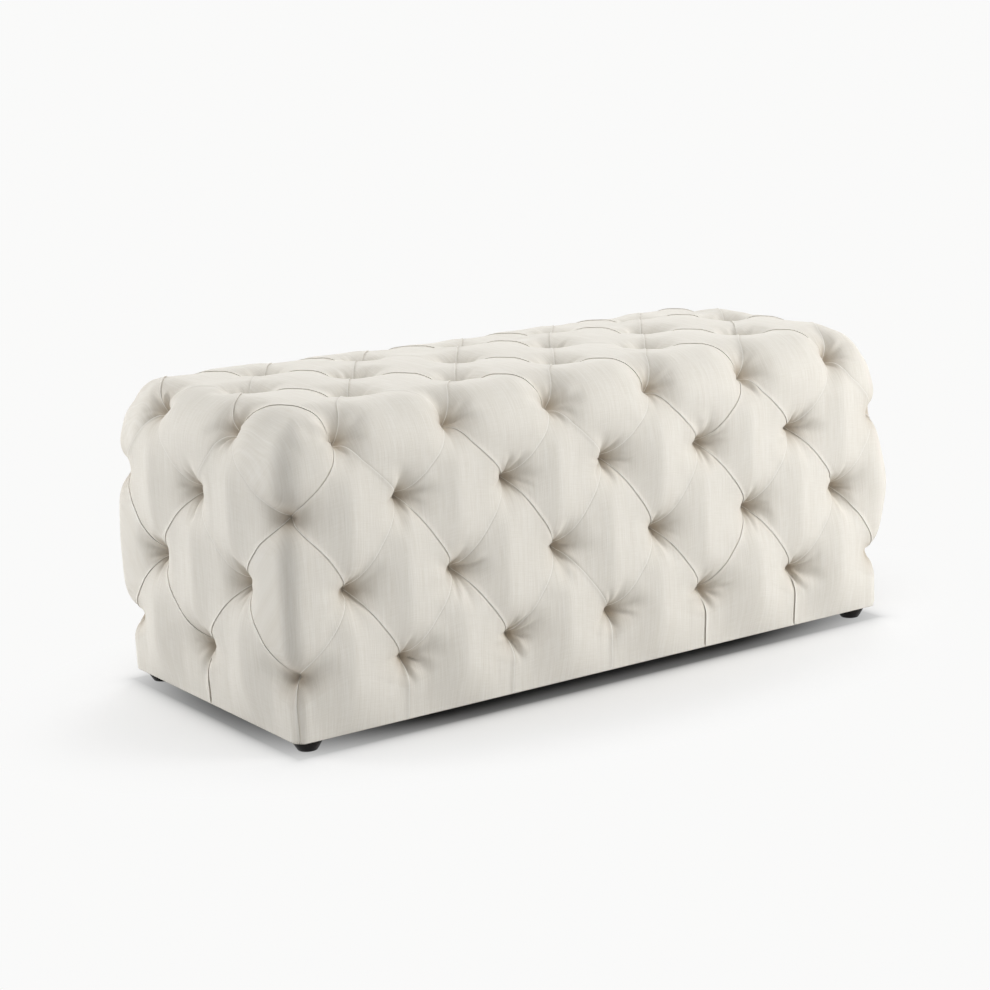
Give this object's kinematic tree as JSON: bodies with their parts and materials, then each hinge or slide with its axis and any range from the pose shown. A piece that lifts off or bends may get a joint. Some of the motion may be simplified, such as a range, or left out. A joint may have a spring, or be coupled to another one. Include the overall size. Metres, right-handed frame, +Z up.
{
  "type": "tufted bench",
  "caption": "Long low upholstered bench, diamond tufted on the top and on every side, on short round feet.",
  "frame": {"origin": "on the floor, at the centre of the plan", "axes": "+X along the bench's length, +Y to its back, +Z up"},
  "size_m": [1.086, 0.53, 0.468],
  "materials": {
    "linen": "matt slubbed linen weave, off-white",
    "foam": null,
    "plywood": "bare plywood",
    "pine": "bare softwood",
    "dark_wood": "dark stained wood, satin lacquer",
    "zinc": "zinc plated",
    "cambric": "thin black non-woven cloth",
    "staple_steel": "bare wire",
    "twine": "waxed upholstery twine"
  },
  "bodies": {
    "root": {"tufted_cover": "linen", "seat_foam": "foam", "front_foam": "foam", "back_foam": "foam", "left_end_foam": "foam", "right_end_foam": "foam", "deck_panel": "plywood", "front_panel": "plywood", "back_panel": "plywood", "left_end_panel": "plywood", "right_end_panel": "plywood", "front_left_post": "pine", "front_right_post": "pine", "back_left_post": "pine", "back_right_post": "pine", "front_left_stud": "pine", "front_right_stud": "pine", "back_left_stud": "pine", "back_right_stud": "pine", "left_deck_bearer": "pine", "right_deck_bearer": "pine", "left_top_rail": "pine", "right_top_rail": "pine", "front_base_rail": "pine", "back_base_rail": "pine", "left_base_rail": "pine", "right_base_rail": "pine", "left_cross_board": "pine", "right_cross_board": "pine", "feet": "dark_wood", "foot_bolts": "zinc", "tee_nuts": "zinc", "turned_hem": "linen", "dust_cover": "cambric", "hem_staples": "staple_steel", "dust_cover_staples": "staple_steel", "tuft_ties": "twine", "tie_staples": "staple_steel", "deck_brads": "staple_steel", "base_brads": "staple_steel"}
  },
  "joints": []
}
